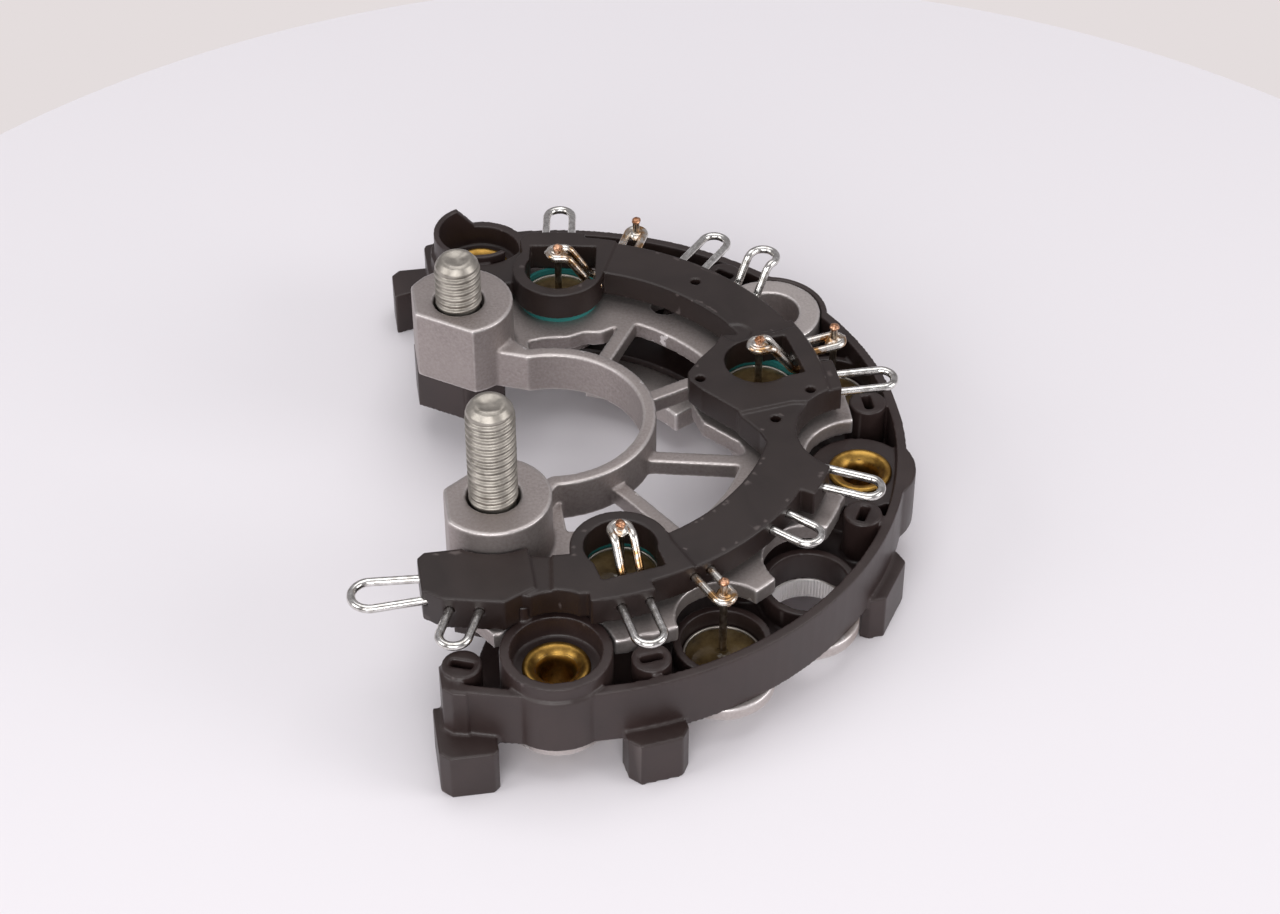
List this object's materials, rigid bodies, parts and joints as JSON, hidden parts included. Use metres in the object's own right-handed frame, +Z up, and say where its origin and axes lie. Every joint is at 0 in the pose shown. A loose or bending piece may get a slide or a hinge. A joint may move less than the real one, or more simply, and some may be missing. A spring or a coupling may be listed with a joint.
{
  "type": "alternator rectifier",
  "caption": "C-shaped alternator rectifier: press-fit diodes in two cast heat sinks with a moulded insulator, a terminal carrier with wire loops and two threaded studs.",
  "frame": {"origin": "centre of the arc of the rivets and outer diodes, on the plane of the feet", "axes": "+X along the line of symmetry of the C, away from its open side; +Y towards the short stud; +Z up along the studs"},
  "size_m": [0.0966, 0.1266, 0.0485],
  "materials": {
    "cast_aluminium": "satin, as cast",
    "cast_aluminium_light": "satin, as cast",
    "black_plastic": "satin",
    "zinc_steel": "zinc plated",
    "brass": "burnished",
    "diode_cup": "nickel plated",
    "resin": "glossy",
    "tinned_copper": "tinned, heat tinted",
    "teal_plastic": "satin",
    "tinned_wire": "bright tinned"
  },
  "bodies": {
    "root": {"positive_heat_sink": "cast_aluminium", "negative_heat_sink": "cast_aluminium_light", "insulating_housing": "black_plastic", "terminal_carrier": "black_plastic", "stud_front": "zinc_steel", "stud_rear": "zinc_steel", "rivet_front": "brass", "rivet_right": "brass", "rivet_rear": "brass", "positive_cup_front": "diode_cup", "positive_cup_right": "diode_cup", "positive_cup_rear": "diode_cup", "negative_cup_front": "diode_cup", "negative_cup_right": "diode_cup", "negative_cup_rear": "diode_cup", "positive_potting_front": "resin", "positive_potting_right": "resin", "positive_potting_rear": "resin", "negative_potting_front": "resin", "negative_potting_right": "resin", "negative_potting_rear": "resin", "positive_lead_front": "tinned_copper", "positive_lead_right": "tinned_copper", "positive_lead_rear": "tinned_copper", "negative_lead_front": "tinned_copper", "negative_lead_right": "tinned_copper", "negative_lead_rear": "tinned_copper", "seal_ring_front": "teal_plastic", "seal_ring_right": "teal_plastic", "seal_ring_rear": "teal_plastic", "end_loop": "tinned_wire", "front_left_loop": "tinned_wire", "front_loop": "tinned_wire", "front_crimp": "tinned_wire", "empty_hole_loop": "tinned_wire", "right_front_loop": "tinned_wire", "right_loop": "tinned_wire", "right_crimp": "tinned_wire", "ground_loop": "tinned_wire", "rear_right_loop": "tinned_wire", "rear_crimp": "tinned_wire", "rear_loop": "tinned_wire", "window_crimp_front": "tinned_wire", "window_crimp_right": "tinned_wire", "window_crimp_rear": "tinned_wire"}
  },
  "joints": []
}
